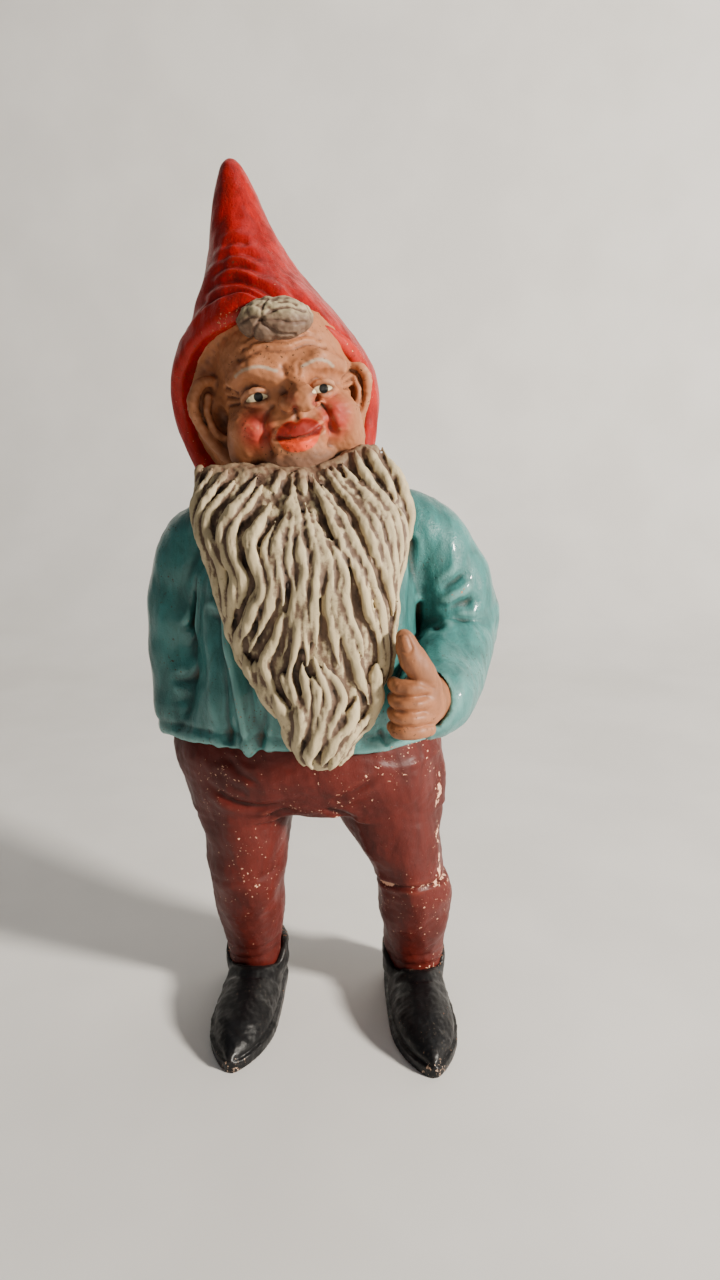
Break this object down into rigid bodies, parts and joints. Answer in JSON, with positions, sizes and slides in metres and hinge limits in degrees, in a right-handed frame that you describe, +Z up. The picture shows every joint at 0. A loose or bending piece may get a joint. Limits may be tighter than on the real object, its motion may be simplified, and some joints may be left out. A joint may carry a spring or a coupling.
{
  "type": "garden gnome",
  "caption": "Hollow painted terracotta figure of a bearded gnome in a pointed hood, short jacket, trousers and slippers, free-standing on its flat soles.",
  "frame": {"origin": "on the ground, below the middle of the figure's bounding box", "axes": "+Z up through the figure, the face looks along -Y, +X towards the figure's own left hand"},
  "size_m": [0.0992, 0.073, 0.24],
  "materials": {
    "red_paint": "gloss oil paint on terracotta",
    "skin_paint": "satin oil paint on terracotta",
    "hair_paint": "satin oil paint on terracotta",
    "teal_paint": "gloss oil paint on terracotta",
    "brown_paint": "semi-gloss oil paint on terracotta",
    "black_paint": "semi-gloss oil paint on terracotta",
    "terracotta": "bare fired clay"
  },
  "bodies": {
    "root": {"hood": "red_paint", "head": "skin_paint", "right_ear": "skin_paint", "left_ear": "skin_paint", "forelock": "hair_paint", "beard": "hair_paint", "neck": "terracotta", "jacket_front": "teal_paint", "jacket_back": "teal_paint", "right_sleeve": "teal_paint", "left_upper_sleeve": "teal_paint", "left_forearm_sleeve": "teal_paint", "left_hand": "skin_paint", "hips_front": "brown_paint", "hips_back": "brown_paint", "right_thigh": "brown_paint", "left_thigh": "brown_paint", "right_shin": "brown_paint", "left_shin": "brown_paint", "right_shoe": "black_paint", "left_shoe": "black_paint"}
  },
  "joints": []
}
